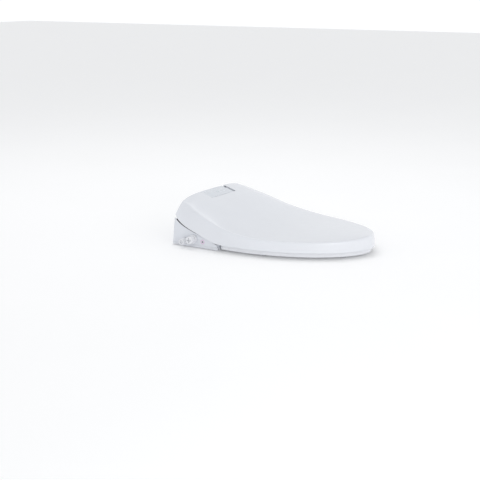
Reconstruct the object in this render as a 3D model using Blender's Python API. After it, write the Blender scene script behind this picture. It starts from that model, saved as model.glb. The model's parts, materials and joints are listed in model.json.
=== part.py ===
"""Electric bidet seat: a slide-on unit with a hinged seat, a hinged lid, a wash nozzle and its plumbing.

Metres, +Z up, front towards -Y. The origin is on the deck plane, halfway between the two fixing bolts.
"""

import math

import bmesh
import bpy
from mathutils import Matrix, Vector

# ---- driving dimensions -------------------------------------------------------------------------

BOLT_SPACING = 0.140
PLATE_TOP = 0.0042
GAP = 0.0003
WALL = 0.0025

# the common hinge line of seat and lid
AXIS_Y = 0.0445
AXIS_Z = 0.0850
PIN_RADIUS = 0.0040
BORE_RADIUS = 0.0043
BOSS_RADIUS = 0.0085

# lid outline: skirt edge and crease
LID_HALF_WIDTH = 0.1967
LID_WIDEST_Y = -0.1500
LID_FRONT_REACH = 0.3253
LID_ROUNDNESS = 1.845
LID_REAR_NARROWING = 0.0105
LID_SIDE_END_Y = 0.0490
LID_SKIRT_INSET = 0.0033
LID_SKIRT_BOTTOM = 0.0200
LID_WALL = 0.0026
LID_REAR_Y = 0.0545
LID_REAR_BOTTOM = 0.0935
LID_CREASE_REAR_X = 0.1560
LID_CREASE_REAR_Y = 0.0505
LID_NOTCH_HALF_WIDTH = 0.0632
LID_NOTCH_FRONT_Y = 0.0046

# unit: the wedge-shaped ends and the block between them
UNIT_FRONT_Y = -0.0950
UNIT_REAR_Y = 0.0535
REAR_LEAN = 0.0070
UNIT_HALF_WIDTH = 0.1895
WEDGE_INNER_X = 0.1838
WEDGE_TIP_Y = -0.0930
WEDGE_SLOPE = 0.349
WEDGE_HEIGHT_AT_ZERO = 0.0490
WEDGE_GAP = 0.0024
WEDGE_TOP_Z = 0.0780
BLOCK_TOP_Z = 0.0585
PARTING_Z = 0.0090
HUMP_HALF_WIDTH = 0.0605
HUMP_REAR_Y = 0.0580

# seat ring
SEAT_INSET = 0.0088
SEAT_BOTTOM_Z = 0.0070
SEAT_TOP_Z = 0.0350
SEAT_REAR_Y = -0.0965
SEAT_WALL = 0.0030
HOLE_FRONT_Y = -0.4050
HOLE_REAR_Y = -0.1500
HOLE_HALF_WIDTH = 0.1080

# wash nozzle
NOZZLE_DIP = math.radians(33.0)
NOZZLE_PORT = (0.0, -0.0905, 0.0164)
NOZZLE_RADIUS = 0.0050
NOZZLE_SETBACK = 0.0340
NOZZLE_LENGTH = 0.1040
FLAP_HINGE_Z = 0.0272
FLAP_LENGTH = 0.0180

# side fittings, on the unit's left end
KNOB_Y = -0.0150
KNOB_Z = 0.0255
INLET_Y = 0.0120
INLET_Z = 0.0177

SEGMENTS = 24


# ---- materials ----------------------------------------------------------------------------------

def material(name, colour, roughness, metallic=0.0):
    made = bpy.data.materials.new(name)
    made.use_nodes = True
    shader = made.node_tree.nodes["Principled BSDF"]
    shader.inputs["Base Color"].default_value = (*colour, 1.0)
    shader.inputs["Roughness"].default_value = roughness
    shader.inputs["Metallic"].default_value = metallic
    made.diffuse_color = (*colour, 1.0)
    return made


# ---- mesh helpers -------------------------------------------------------------------------------

def clear_scene():
    for old in list(bpy.data.objects):
        bpy.data.objects.remove(old, do_unlink=True)


def link(name, mesh, skin):
    made = bpy.data.objects.new(name, mesh)
    bpy.context.scene.collection.objects.link(made)
    if skin is not None:
        mesh.materials.append(skin)
    return made


def from_points(name, points, faces, skin, smooth=False, origin=(0.0, 0.0, 0.0)):
    """An object whose points are in world coordinates, with its own origin where it turns."""
    mesh = bpy.data.meshes.new(name)
    home = Vector(origin)
    mesh.from_pydata([Vector(p) - home for p in points], [], faces)
    shape = bmesh.new()
    shape.from_mesh(mesh)
    bmesh.ops.recalc_face_normals(shape, faces=shape.faces)
    shape.to_mesh(mesh)
    shape.free()
    for face in mesh.polygons:
        face.use_smooth = smooth
    made = link(name, mesh, skin)
    made.location = home
    return made


def box(name, low, high, skin, bevel=0.0, origin=None):
    """A block between two corners."""
    points = [(x, y, z) for x in (low[0], high[0]) for y in (low[1], high[1]) for z in (low[2], high[2])]
    faces = [(0, 1, 3, 2), (4, 6, 7, 5), (0, 4, 5, 1), (2, 3, 7, 6), (0, 2, 6, 4), (1, 5, 7, 3)]
    centre = origin or [(a + b) / 2 for a, b in zip(low, high)]
    made = from_points(name, points, faces, skin, origin=centre)
    if bevel:
        add_bevel(made, bevel)
    return made


def add_bevel(target, width, segments=2, angle=40.0):
    edge = target.modifiers.new("rounded_edges", "BEVEL")
    edge.width = width
    edge.segments = segments
    edge.limit_method = "ANGLE"
    edge.angle_limit = math.radians(angle)


def prism(name, outline, low, high, skin, axis="x", origin=(0.0, 0.0, 0.0), smooth=False):
    """An outline swept straight along one axis: (y, z) pairs along x, or (x, y) pairs along z."""
    count = len(outline)
    if axis == "x":
        points = [(at, a, b) for at in (low, high) for a, b in outline]
    else:
        points = [(a, b, at) for at in (low, high) for a, b in outline]
    faces = [tuple(range(count)), tuple(range(2 * count - 1, count - 1, -1))]
    faces += [(i, i + count, (i + 1) % count + count, (i + 1) % count) for i in range(count)]
    return from_points(name, points, faces, skin, origin=origin, smooth=smooth)


def lathe(name, profile, start, direction, skin, segments=SEGMENTS, smooth=True):
    """A solid of revolution from (radius, distance) pairs along a direction; its origin is at start."""
    along = Vector(direction).normalized()
    turn = Vector((0.0, 0.0, 1.0)).rotation_difference(along).to_matrix().to_4x4()
    place = Matrix.Translation(Vector(start)) @ turn
    hollow = profile[0][0] > 0 and profile[0] == profile[-1]
    rows = profile[:-1] if hollow else profile
    shape = bmesh.new()
    rings = []
    for radius, at in rows:
        if radius <= 0:
            rings.append([shape.verts.new(place @ Vector((0.0, 0.0, at)))])
            continue
        ring = []
        for i in range(segments):
            angle = 2 * math.pi * i / segments
            corner = Vector((radius * math.cos(angle), radius * math.sin(angle), at))
            ring.append(shape.verts.new(place @ corner))
        rings.append(ring)
    pairs = list(zip(rings, rings[1:]))
    if hollow:
        pairs.append((rings[-1], rings[0]))
    for a, b in pairs:
        for i in range(segments):
            corners = [a[i % len(a)], a[(i + 1) % len(a)], b[(i + 1) % len(b)], b[i % len(b)]]
            unique = list(dict.fromkeys(corners))
            if len(unique) > 2:
                shape.faces.new(unique)
    bmesh.ops.recalc_face_normals(shape, faces=shape.faces)
    bmesh.ops.transform(shape, matrix=Matrix.Translation(-Vector(start)), verts=shape.verts)
    mesh = bpy.data.meshes.new(name)
    shape.to_mesh(mesh)
    shape.free()
    shade_by_angle(mesh, smooth)
    made = link(name, mesh, skin)
    made.location = Vector(start)
    return made


def shade_by_angle(mesh, smooth):
    for face in mesh.polygons:
        face.use_smooth = smooth
    if smooth:
        mesh.set_sharp_from_angle(angle=math.radians(38.0))


def rod(name, radius, start, direction, length, skin, chamfer=0.0005, segments=SEGMENTS):
    profile = [(0, 0), (radius - chamfer, 0), (radius, chamfer)]
    profile += [(radius, length - chamfer), (radius - chamfer, length), (0, length)]
    return lathe(name, profile, start, direction, skin, segments)


def tube(name, inner, outer, start, direction, length, skin, segments=SEGMENTS):
    profile = [(inner, 0), (outer, 0), (outer, length), (inner, length), (inner, 0)]
    return lathe(name, profile, start, direction, skin, segments)


def helper(made):
    """Marks an object as a tool for a Boolean: not a piece of its own."""
    made.hide_render = True
    made.display_type = "WIRE"
    return made


def combine(target, tool, operation):
    step = target.modifiers.new(operation.lower(), "BOOLEAN")
    step.operation = operation
    step.solver = "EXACT"
    step.object = helper(tool)
    return target


def cut(target, tool):
    return combine(target, tool, "DIFFERENCE")


def fuse(target, tool):
    return combine(target, tool, "UNION")


def both_sides():
    return (("left", -1.0), ("right", 1.0))


def between(table, at):
    """Straight-line lookup in a table of (position, value)."""
    if at <= table[0][0]:
        return table[0][1]
    for (a, low), (b, high) in zip(table, table[1:]):
        if at <= b:
            return low + (high - low) * (at - a) / (b - a)
    return table[-1][1]


def smooth_between(table, at):
    """The same lookup, through a Catmull-Rom curve."""
    if at <= table[0][0]:
        return table[0][1]
    if at >= table[-1][0]:
        return table[-1][1]
    i = max(n for n, row in enumerate(table[:-1]) if at >= row[0])
    (a, low), (b, high) = table[i], table[i + 1]
    before = table[max(i - 1, 0)]
    after = table[min(i + 2, len(table) - 1)]
    span = b - a
    rise_a = (high - before[1]) / (b - before[0]) * span
    rise_b = (after[1] - low) / (after[0] - a) * span
    t = (at - a) / span
    return (
        (2 * t**3 - 3 * t**2 + 1) * low
        + (t**3 - 2 * t**2 + t) * rise_a
        + (3 * t**2 - 2 * t**3) * high
        + (t**3 - t**2) * rise_b
    )


def bezier(points, t):
    a, b, c, d = points
    u = 1 - t
    return tuple(
        u**3 * p + 3 * u * u * t * q + 3 * u * t * t * r + t**3 * s for p, q, r, s in zip(a, b, c, d)
    )


# ---- lid ----------------------------------------------------------------------------------------

SPINE_HEIGHTS = [
    (-0.472, 0.0550), (-0.400, 0.0530), (-0.300, 0.0515), (-0.250, 0.0525), (-0.200, 0.0570),
    (-0.150, 0.0670), (-0.100, 0.0825), (-0.050, 0.1010), (0.000, 0.1175), (0.022, 0.1250), (0.054, 0.1350),
]
CREASE_HEIGHTS = [
    (-0.472, 0.0520), (-0.400, 0.0500), (-0.300, 0.0485), (-0.230, 0.0500), (-0.168, 0.0560),
    (-0.102, 0.0690), (-0.067, 0.0805), (-0.028, 0.0940), (0.001, 0.1035), (0.022, 0.1120), (0.0505, 0.1190),
]
CREASE_INSETS = [
    (-0.475, 0.0033), (-0.150, 0.0036), (-0.102, 0.0050), (-0.067, 0.0080), (-0.028, 0.0130),
    (0.001, 0.0190), (0.022, 0.0255), (0.0490, 0.0302),
]
CREASE_SOFTNESS = [(-0.475, 0.0045), (-0.150, 0.0055), (-0.030, 0.0080), (0.0490, 0.0160)]
CROWN_POWERS = [(-0.300, 2.0), (-0.100, 3.0), (0.050, 4.8)]
SKIRT_EDGE = [(-0.003, 0.0505), (0.022, 0.0590), (0.0480, 0.0740), (0.0490, 0.0890)]


def lid_side_x(y):
    return LID_HALF_WIDTH - LID_REAR_NARROWING * ((y - LID_WIDEST_Y) / 0.195) ** 2


def lid_front_point(angle, shrink=0.0):
    """The front half of the outline, from the tip (0) to the widest place (90 degrees)."""
    power = 2 / LID_ROUNDNESS
    x = (LID_HALF_WIDTH - shrink) * math.sin(angle) ** power
    y = LID_WIDEST_Y - (LID_FRONT_REACH - shrink) * max(math.cos(angle), 0.0) ** power
    return x, y


def lid_outline(front_steps, side_steps, shrink=0.0, last_y=LID_SIDE_END_Y):
    """Half of the outline as (x, y) from the front tip back to the end of the side."""
    points = [lid_front_point(math.pi / 2 * i / front_steps, shrink) for i in range(front_steps + 1)]
    for i in range(1, side_steps + 1):
        y = LID_WIDEST_Y + (last_y - LID_WIDEST_Y) * i / side_steps
        points.append((lid_side_x(y) - shrink, y))
    return points


def skirt_edge_curve(steps=16):
    return [bezier(SKIRT_EDGE, i / steps) for i in range(steps + 1)]


def skirt_edge_z(y):
    """Height of the lid's lower edge: flat in front, rising along the wedge, then curling up at the hinge."""
    if y <= SKIRT_EDGE[0][0]:
        slope = SKIRT_EDGE[0][1] + WEDGE_SLOPE * (y - SKIRT_EDGE[0][0])
        blend = 0.003
        return blend * math.log(math.exp(slope / blend) + math.exp(LID_SKIRT_BOTTOM / blend))
    return between(skirt_edge_curve(), y)


def crease_half_width(y):
    if y < LID_WIDEST_Y:
        reach = min((LID_WIDEST_Y - y) / (LID_FRONT_REACH - LID_SKIRT_INSET), 1.0)
        return max((LID_HALF_WIDTH - LID_SKIRT_INSET) * (1 - reach**LID_ROUNDNESS) ** (1 / LID_ROUNDNESS), 1e-4)
    return lid_side_x(y) - smooth_between(CREASE_INSETS, y)


def lid_height(x, y):
    spine = smooth_between(SPINE_HEIGHTS, y)
    drop = spine - smooth_between(CREASE_HEIGHTS, y)
    share = min(abs(x) / crease_half_width(y), 1.05)
    return spine - drop * share ** smooth_between(CROWN_POWERS, y)


def lid_columns(front_steps=18, side_steps=16):
    """For every place round the rim: lower edge point, crease corner, and the top surface's own edge point."""
    rows = []
    for i, (x, y) in enumerate(lid_outline(front_steps, side_steps)):
        inset = smooth_between(CREASE_INSETS, y)
        soft = smooth_between(CREASE_SOFTNESS, y)
        if i <= front_steps:
            angle = math.pi / 2 * i / front_steps
            cx, cy = lid_front_point(angle, inset)
            tx, ty = lid_front_point(angle, inset + soft)
        else:
            cx, cy = x - inset, y
            back = max(0.0, y / LID_SIDE_END_Y)
            tx, ty = cx - soft, y - 0.3 * soft * back**2
        rows.append(((x, y, skirt_edge_z(y)), (cx, cy), (tx, ty)))
    return rows


def rear_columns(last, across):
    """The rim along the back, from the left corner to the right one."""
    (_, side_y, side_z), _, (top_x, top_y) = last
    columns = []
    for i in range(1, across):
        s = -1 + 2 * i / across
        near = abs(s)
        foot_x = 0.1862 * math.copysign(near**0.85, s)
        foot_y = LID_REAR_Y - (LID_REAR_Y - side_y) * near**12
        foot_z = LID_REAR_BOTTOM + (side_z - LID_REAR_BOTTOM) * near**10
        foot = (foot_x, foot_y, foot_z)
        columns.append((foot, (s * LID_CREASE_REAR_X, LID_CREASE_REAR_Y), (s * top_x, top_y)))
    return columns


def lid_sheet(name):
    """The lid's outer skin as an open sheet: a top grid, a rounded crease and a skirt round it."""
    across = 14
    rows = lid_columns()
    points, faces = [], []

    def add(x, y, z):
        points.append((x, y, z))
        return len(points) - 1

    tip = add(0.0, rows[0][2][1], lid_height(0.0, rows[0][2][1]))
    grid = [[tip] * (across + 1)]
    for _, _, (half, y) in rows[1:]:
        steps = [-1 + 2 * i / across for i in range(across + 1)]
        grid.append([add(s * half, y, lid_height(s * half, y)) for s in steps])
    for a, b in zip(grid, grid[1:]):
        for i in range(across):
            faces.append(tuple(dict.fromkeys((a[i], a[i + 1], b[i + 1], b[i]))))
    left = [(mirror_column(c), grid[i][0]) for i, c in enumerate(rows)]
    right = [(c, grid[i][-1]) for i, c in enumerate(rows)]
    back = list(zip(rear_columns(rows[-1], across), grid[-1][1:-1]))
    rim = left[::-1] + right[1:] + back[::-1]
    loops = []
    for (foot, corner, top), edge in rim:
        high = (*corner, lid_height(*corner))
        top3 = (*top, lid_height(*top))
        chain = [edge]
        share = between([(-0.0600, 0.20), (0.0490, 0.45)], foot[1])
        down = [h + (f - h) * share for h, f in zip(high, foot)]
        for t in (0.25, 0.5, 0.75, 1.0):
            chain.append(add(*quadratic(top3, high, down, t)))
        for t in (0.4, 0.75, 1.0):
            chain.append(add(*[h + (f - h) * (share + (1 - share) * t) for h, f in zip(high, foot)]))
        loops.append(chain)
    for a, b in zip(loops, loops[1:] + loops[:1]):
        for i in range(len(a) - 1):
            faces.append(tuple(dict.fromkeys((a[i], a[i + 1], b[i + 1], b[i]))))
    return from_points(name, points, faces, None, smooth=True)


def quadratic(a, b, c, t):
    u = 1 - t
    return [u * u * p + 2 * u * t * q + t * t * r for p, q, r in zip(a, b, c)]


def mirror_column(column):
    (fx, fy, fz), (cx, cy), (tx, ty) = column
    return ((-fx, fy, fz), (-cx, cy), (-tx, ty))


def make_lid(skin, rubber):
    lid = lid_sheet("lid")
    lid.data.materials.append(skin)
    thick = lid.modifiers.new("wall", "SOLIDIFY")
    thick.thickness = LID_WALL
    thick.offset = -1.0
    half = LID_NOTCH_HALF_WIDTH
    notch = box("lid_notch_tool", (-half, LID_NOTCH_FRONT_Y, 0.05), (half, 0.09, 0.16), None)
    cut(lid, notch)
    for side, sign in both_sides():
        fuse(lid, lid_arm(f"lid_arm_{side}_tool", sign))
        start = (sign * 0.060, AXIS_Y, AXIS_Z)
        cut(lid, rod(f"lid_bore_{side}_tool", BORE_RADIUS, start, (sign, 0, 0), 0.024, None))
    for side, sign in both_sides():
        x, y = sign * 0.120, -0.345
        low = SEAT_TOP_Z + 0.0004
        high = lid_height(x, y) - LID_WALL - 0.0012
        rod(f"lid_bumper_{side}", 0.0060, (x, y, low), (0, 0, 1), high - low, rubber, 0.0012, 16)
    set_origin(lid, (0.0, AXIS_Y, AXIS_Z))
    return lid


def set_origin(target, place):
    """Moves an object's origin without moving its shape."""
    shift = Vector(place) - target.location
    target.data.transform(Matrix.Translation(-shift))
    target.location = Vector(place)


def lid_arm(name, sign):
    """A rib under the lid that carries the hinge eye."""
    low, high = sorted((sign * 0.0645, sign * 0.0795))
    eye = [
        (AXIS_Y + BOSS_RADIUS * math.cos(math.radians(a)), AXIS_Z + BOSS_RADIUS * math.sin(math.radians(a)))
        for a in range(-180, 20, 20)
    ]
    top = [(y, lid_height(0.0795, y) - 0.0014) for y in (0.0400, 0.0300, 0.0100, -0.0100, -0.0300)]
    outline = eye + [(0.0505, 0.1000)] + top + [(-0.0200, 0.0930)]
    return prism(name, outline, low, high, None)


# ---- seat ring ----------------------------------------------------------------------------------

def seat_outline(inset, steps=26):
    """Closed outline of the ring's outside at an inset, counter-clockwise from the front tip."""
    rear = SEAT_REAR_Y - max(inset - SEAT_INSET, 0.0)
    corner = 0.016
    half = [lid_front_point(math.pi / 2 * i / steps, inset) for i in range(steps + 1)]
    wide = lid_side_x(rear) - inset
    for i in range(1, 4):
        y = LID_WIDEST_Y + (rear - corner - LID_WIDEST_Y) * i / 3
        half.append((lid_side_x(y) - inset, y))
    for i in range(1, 6):
        a = math.pi / 2 * i / 5
        half.append((wide - corner + corner * math.cos(a), rear - corner + corner * math.sin(a)))
    for i in range(1, 6):
        half.append(((wide - corner) * (1 - i / 5), rear))
    right = half[:-1]
    left = [(-x, y) for x, y in half[1:]][::-1]
    return right + left


def hole_point(angle, grow):
    """A place on the opening's egg-shaped outline."""
    middle = (HOLE_FRONT_Y + HOLE_REAR_Y) / 2
    reach = (HOLE_REAR_Y - HOLE_FRONT_Y) / 2 + grow
    y = middle - reach * math.cos(angle)
    lean = 1.0 + 0.16 * (y - middle) / reach * math.sin(angle) ** 2
    return (HOLE_HALF_WIDTH + grow) * lean * math.sin(angle), y


def ring_between(name, section, skin, smooth=True):
    """A closed ring: each section entry is (share from outside to hole, inset outside, grow at hole, z)."""
    base = seat_outline(SEAT_INSET)
    middle = (HOLE_FRONT_Y + HOLE_REAR_Y) / 2
    angles = [math.atan2(x, -(y - middle)) for x, y in base]
    points, faces = [], []
    for share, inset, grow, z in section:
        outside = seat_outline(SEAT_INSET + inset)
        for (ox, oy), angle in zip(outside, angles):
            hx, hy = hole_point(angle, grow)
            points.append((ox + (hx - ox) * share, oy + (hy - oy) * share, z))
    count, rows = len(base), len(section)
    for r in range(rows):
        for i in range(count):
            a, b = r * count + i, r * count + (i + 1) % count
            c, d = ((r + 1) % rows) * count + (i + 1) % count, ((r + 1) % rows) * count + i
            faces.append((a, b, c, d))
    return from_points(name, points, faces, skin, smooth=smooth, origin=(0.0, AXIS_Y, AXIS_Z))


def make_seat(skin, plate_skin, foil, rubber):
    wall = SEAT_WALL
    top = SEAT_TOP_Z
    section = [
        (0, 0, 0, SEAT_BOTTOM_Z), (0, 0, 0, 0.0230), (0, 0.0018, 0, 0.0300), (0, 0.0080, 0, top - 0.0005),
        (0.35, 0.0040, 0.002, top), (0.7, 0.004, 0.003, 0.0315), (1, 0, 0.0050, 0.0270), (1, 0, 0.0008, 0.0220),
        (1, 0, 0, 0.0160), (1, 0, 0, SEAT_BOTTOM_Z), (1, 0, wall, SEAT_BOTTOM_Z), (1, 0, wall, 0.0200),
        (1, 0, 0.0078, 0.0238), (0.7, 0.004, 0.003, 0.0284), (0.35, 0.004, 0.002, top - wall),
        (0, 0.0085, 0, top - wall - 0.0008), (0, wall + 0.0018, 0, 0.0270), (0, wall, 0, 0.0215),
        (0, wall, 0, SEAT_BOTTOM_Z),
    ]
    seat = ring_between("seat_top", section, skin)
    shade_by_angle(seat.data, True)
    for side, sign in both_sides():
        fuse(seat, seat_arm(f"seat_arm_{side}_tool", sign))
        start = (sign * 0.0800, AXIS_Y, AXIS_Z)
        cut(seat, rod(f"seat_bore_{side}_tool", BORE_RADIUS, start, (sign, 0, 0), 0.024, None))
    cut(seat, box("seat_port_tool", (-0.0175, -0.1135, 0.0), (0.0175, -0.0900, 0.0290), None))
    low = SEAT_BOTTOM_Z + 0.0006
    edge = wall + GAP
    plate = [(0, edge, 0, low), (0, edge, 0, low + 0.0025), (1, 0, edge, low + 0.0025), (1, 0, edge, low)]
    bottom = ring_between("seat_bottom", plate, plate_skin, smooth=False)
    cut(bottom, box("seat_bottom_port_tool", (-0.0180, -0.1140, 0.0), (0.0180, -0.0900, 0.0290), None))
    under = top - wall - GAP
    sheet = [
        (0.10, 0.006, 0.002, under - 0.0006), (0.35, 0.004, 0.002, under), (0.62, 0.004, 0.0027, 0.0285),
        (0.62, 0.004, 0.0027, 0.0281), (0.35, 0.004, 0.002, under - 0.0004), (0.10, 0.006, 0.002, under - 0.0010),
    ]
    heater = ring_between("seat_heater", sheet, foil, smooth=False)
    cut(heater, box("seat_heater_port_tool", (-0.0185, -0.1500, 0.0), (0.0185, -0.0900, 0.0400), None))
    for name, x, y in (("front_left", -0.060, -0.418), ("front_right", 0.060, -0.418),
                       ("rear_left", -0.155, -0.225), ("rear_right", 0.155, -0.225)):
        rod(f"seat_bumper_{name}", 0.0085, (x, y, 0.0), (0, 0, 1), SEAT_BOTTOM_Z + 0.0003, rubber, 0.0012, 18)
    return seat


def seat_arm(name, sign):
    """An arm from the ring's back up to the hinge eye."""
    low, high = sorted((sign * 0.0825, sign * 0.0980))
    eye = [
        (AXIS_Y + BOSS_RADIUS * math.cos(math.radians(a)), AXIS_Z + BOSS_RADIUS * math.sin(math.radians(a)))
        for a in range(-100, 101, 20)
    ]
    upper = [(0.0100, 0.0900), (-0.0200, 0.0800), (-0.0600, 0.0640), (-0.0950, 0.0480), (-0.1180, 0.0345)]
    lower = [(-0.1180, 0.0330), (-0.1000, 0.0330), (-0.0900, 0.0385), (-0.0600, 0.0530), (0.0000, 0.0700)]
    return prism(name, eye + upper + lower, low, high, None)


# ---- unit cases ---------------------------------------------------------------------------------

def rear_y(z, inset=0.0):
    """The unit's back leans outward towards its foot."""
    return UNIT_REAR_Y + REAR_LEAN * (WEDGE_TOP_Z - z) / (WEDGE_TOP_Z - PARTING_Z) - inset


def wedge_outline():
    """Side view of the unit's ends as (y, z): a wedge whose top follows the lid's lower edge."""
    curve = skirt_edge_curve(14)
    top = [(WEDGE_TIP_Y, WEDGE_HEIGHT_AT_ZERO + WEDGE_SLOPE * WEDGE_TIP_Y)]
    for (y0, z0), (y1, z1) in zip(curve, curve[1:]):
        length = math.hypot(y1 - y0, z1 - z0)
        place = (y0 + WEDGE_GAP * (z1 - z0) / length, z0 - WEDGE_GAP * (y1 - y0) / length)
        if place[1] < WEDGE_TOP_Z:
            top.append(place)
    rear = [
        (UNIT_REAR_Y - 0.0012, WEDGE_TOP_Z),
        (UNIT_REAR_Y, WEDGE_TOP_Z - 0.0012),
        (rear_y(PARTING_Z), PARTING_Z),
    ]
    return [(WEDGE_TIP_Y, PARTING_Z)] + top + rear


def block_outline(inset):
    """Side view of the block between the wedges."""
    front, top = UNIT_FRONT_Y + inset, BLOCK_TOP_Z - inset
    return [(front, PARTING_Z), (front, 0.0290 - inset * 0.6), (front + 0.0035, 0.0330 - inset), (0.0000, top),
            (rear_y(top, inset), top), (rear_y(PARTING_Z, inset), PARTING_Z)]


def hump_outline(inset):
    """Side view of the centre housing that carries the exposed top panel."""
    return [(-0.0880 + inset, 0.0280), (-0.0880 + inset, 0.0355 - inset), (0.0078 + inset, 0.1142 - inset),
            (0.0300, 0.1209 - inset), (0.0540 - inset * 0.6, 0.1256 - inset), (HUMP_REAR_Y - inset, 0.1200 - inset),
            (HUMP_REAR_Y - inset, 0.0280)]


def plan_outline(inset, corner=0.008, steps=5):
    """The unit's outline at its parting line, seen from above, with rounded rear corners."""
    x, front, rear = UNIT_HALF_WIDTH - inset, UNIT_FRONT_Y + inset, rear_y(PARTING_Z, inset)
    turn = [math.pi / 2 * i / steps for i in range(steps + 1)]
    arc = [(x - corner + corner * math.cos(a), rear - corner + corner * math.sin(a)) for a in turn]
    right = [(x, front)] + arc
    return right + [(-a, b) for a, b in right[::-1]]


def make_upper_case(skin):
    case = prism("upper_case", block_outline(0.0), -WEDGE_INNER_X - 0.001, WEDGE_INNER_X + 0.001, skin)
    for side, sign in both_sides():
        low, high = sorted((sign * WEDGE_INNER_X, sign * UNIT_HALF_WIDTH))
        fuse(case, prism(f"wedge_{side}_tool", wedge_outline(), low, high, None))
    half = HUMP_HALF_WIDTH
    fuse(case, prism("hump_tool", hump_outline(0.0), -half, half, None))
    cut(case, corner_trim())
    inner = WEDGE_INNER_X - WALL
    cut(case, prism("case_inside_tool", [(y, z if z > PARTING_Z else 0.0) for y, z in block_outline(WALL)],
                    -inner, inner, None))
    cut(case, prism("hump_inside_tool", hump_outline(WALL), -half + WALL, half - WALL, None))
    cut(case, port_tool("case_port_tool"))
    cut(case, rod("knob_hole_tool", 0.0054, (-0.170, KNOB_Y, KNOB_Z), (-1, 0, 0), 0.03, None, 0.0))
    cut(case, rod("inlet_hole_tool", 0.0083, (-0.170, INLET_Y, INLET_Z), (-1, 0, 0), 0.03, None, 0.0))
    cut(case, rod("gland_hole_tool", 0.0053, (0.170, 0.0300, 0.0250), (1, 0, 0), 0.03, None, 0.0))
    cut(case, box("button_hole_tool", (0.170, -0.0415, 0.0195), (0.200, -0.0185, 0.0325), None))
    cut(case, box("sensor_hole_tool", (0.0590, -0.100, 0.0155), (0.0730, -0.090, 0.0225), None))
    cut(case, box("dryer_hole_tool", (0.0270, -0.100, 0.0155), (0.0530, -0.090, 0.0265), None))
    cut(case, box("filter_hole_tool", (-0.0900, -0.100, 0.0145), (-0.0500, -0.085, 0.0255), None))
    for side, sign in both_sides():
        start = (sign * 0.045, AXIS_Y, AXIS_Z)
        cut(case, rod(f"pin_hole_{side}_tool", PIN_RADIUS + 0.00005, start, (sign, 0, 0), 0.02, None, 0.0))
    return case


def corner_trim():
    """What lies outside the rounded rear corners."""
    outer = box("corner_trim_tool", (-0.25, -0.15, -0.01), (0.25, 0.0800, 0.2), None)
    keep = prism("corner_keep_tool", plan_outline(0.0), -0.05, 0.25, None, axis="z")
    for vertex in keep.data.vertices:
        if vertex.co.y > 0.0:
            vertex.co.y += rear_y(vertex.co.z) - rear_y(PARTING_Z)
    cut(outer, keep)
    half = HUMP_HALF_WIDTH + 0.01
    cut(outer, box("hump_keep_tool", (-half, 0.0, -0.05), (half, 0.1, 0.25), None))
    return outer


def port_tool(name):
    return box(name, (-0.0155, -0.1000, 0.0072), (0.0155, -0.0860, 0.0290), None)


def make_lower_case(skin):
    """A tray: a floor with a rim that drops below it, open at the back for the mounting plate."""
    tray = prism("lower_case", plan_outline(0.0), 0.0020, PARTING_Z - GAP, skin, axis="z")
    cut(tray, prism("tray_inside_tool", plan_outline(WALL), 0.0068, 0.0300, None, axis="z"))
    cut(tray, prism("tray_under_tool", plan_outline(WALL), -0.0100, 0.0046, None, axis="z"))
    cut(tray, box("plate_way_tool", (-0.0860, 0.0300, -0.01), (0.0860, 0.0700, 0.0046), None))
    for side, sign in both_sides():
        low, high = sorted((sign * 0.0330, sign * 0.0450))
        cut(tray, box(f"rail_slot_{side}_tool", (low, -0.0230, 0.0), (high, 0.0700, 0.0105), None))
    cut(tray, port_tool("tray_port_tool"))
    cut(tray, box("tray_filter_tool", (-0.0900, -0.100, 0.0100), (-0.0500, -0.085, 0.0200), None))
    return tray


def make_top_panel(skin, mark_skin):
    """The tapered cover in the lid's notch, with a small plain status lamp."""
    front, rear = 0.0076, 0.0540
    front_z, rear_z = 0.1186, 0.1302
    thick = 0.0024
    points, faces = [], []
    steps = 12
    for y, z, half in ((front, front_z, 0.0565), (0.0300, 0.1254, 0.0592), (rear, rear_z, 0.0618)):
        for drop in (0.0, thick):
            for i in range(steps + 1):
                s = -1 + 2 * i / steps
                crown = 0.0012 * s**4
                points.append((s * half, y, z - crown - drop))
    row = steps + 1
    for band in range(2):
        a = band * 2 * row
        b = a + 2 * row
        for i in range(steps):
            faces.append((a + i, a + i + 1, b + i + 1, b + i))
            faces.append((a + row + i, b + row + i, b + row + i + 1, a + row + i + 1))
        faces.append((a, b, b + row, a + row))
        faces.append((a + steps, a + row + steps, b + row + steps, b + steps))
    for i in range(steps):
        faces.append((i, i + row, i + row + 1, i + 1))
        end = 4 * row
        faces.append((end + i, end + i + 1, end + row + i + 1, end + row + i))
    panel = from_points("top_panel", points, faces, skin)
    cut(panel, box("lamp_hole_tool", (-0.0065, 0.0270, 0.10), (0.0065, 0.0310, 0.15), None))
    lamp = box("status_lamp", (-0.0062, 0.0273, 0.1236), (0.0062, 0.0307, 0.1254), mark_skin)
    return panel, lamp


def make_hinge(steel, damper_skin):
    for side, sign in both_sides():
        rod(f"hinge_pin_{side}", PIN_RADIUS, (sign * 0.0562, AXIS_Y, AXIS_Z), (sign, 0, 0), 0.0448, steel)
        profile = [(0, 0), (0.0070, 0), (0.0078, 0.0008), (0.0078, 0.0022), (0.0070, 0.0030), (0, 0.0030)]
        lathe(f"pin_cap_{side}", profile, (sign * 0.1013, AXIS_Y, AXIS_Z), (sign, 0, 0), damper_skin)
    for name, sign in (("seat_damper", -1.0), ("lid_damper", 1.0)):
        body = [(0, 0), (0.0086, 0), (0.0096, 0.0010), (0.0096, 0.0300), (0.0070, 0.0320), (0.0070, 0.0440),
                (0, 0.0440)]
        lathe(name, body, (sign * 0.0115, AXIS_Y, AXIS_Z), (sign, 0, 0), damper_skin)


# ---- wash nozzle --------------------------------------------------------------------------------

def nozzle_way():
    return Vector((0.0, -math.cos(NOZZLE_DIP), -math.sin(NOZZLE_DIP)))


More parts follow.
